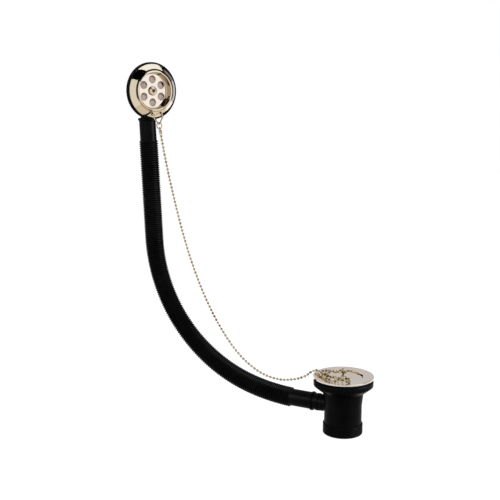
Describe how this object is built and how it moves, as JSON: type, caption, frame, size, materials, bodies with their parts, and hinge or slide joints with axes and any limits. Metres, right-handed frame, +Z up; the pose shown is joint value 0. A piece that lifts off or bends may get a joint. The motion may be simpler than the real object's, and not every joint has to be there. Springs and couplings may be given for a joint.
{
  "type": "bath waste and overflow",
  "caption": "Bath waste with plug and bead chain, joined by a black corrugated hose to a dished polished-nickel overflow face with drain holes.",
  "frame": {"origin": "centre of the waste flange's underside, where it meets the bath floor", "axes": "+Z up along the waste, +X the way the overflow face looks into the bath"},
  "size_m": [0.2852, 0.1977, 0.4409],
  "materials": {
    "polished_nickel": "polished warm nickel plate on brass",
    "chain_metal": "bright nickel plate with a gold tinge",
    "black_moulding": "satin moulded black plastic",
    "hose_black": "satin black plastic",
    "black_rubber": "matt black rubber",
    "grey_moulding": "matt grey plastic",
    "plain_brass": "turned brass",
    "screw_steel": "bright steel"
  },
  "bodies": {
    "root": {"overflow_plate": "polished_nickel", "overflow_screw": "polished_nickel", "overflow_seal": "black_rubber", "overflow_body": "black_moulding", "screw_bridge": "grey_moulding", "overflow_insert": "plain_brass", "overflow_hose": "hose_black", "bead_chain": "chain_metal", "plug_coupling": "chain_metal", "plug_ring": "chain_metal", "waste_flange": "polished_nickel", "waste_screw": "screw_steel", "flange_washer": "black_rubber", "waste_body": "black_moulding", "body_insert": "plain_brass", "plug": "polished_nickel", "plug_seal": "black_rubber", "plug_eye": "chain_metal", "plug_nut": "plain_brass"},
    "stay": {"chain_stay": "chain_metal", "stay_ring": "chain_metal", "stay_coupling": "chain_metal"}
  },
  "joints": [
    {"name": "stay_swing", "type": "hinge", "parent": "root", "child": "stay", "pos_m": [-0.2163, -0.12433, 0.30877], "axis": [0, -0.9976, -0.0698], "range_deg": [0, 20]}
  ]
}
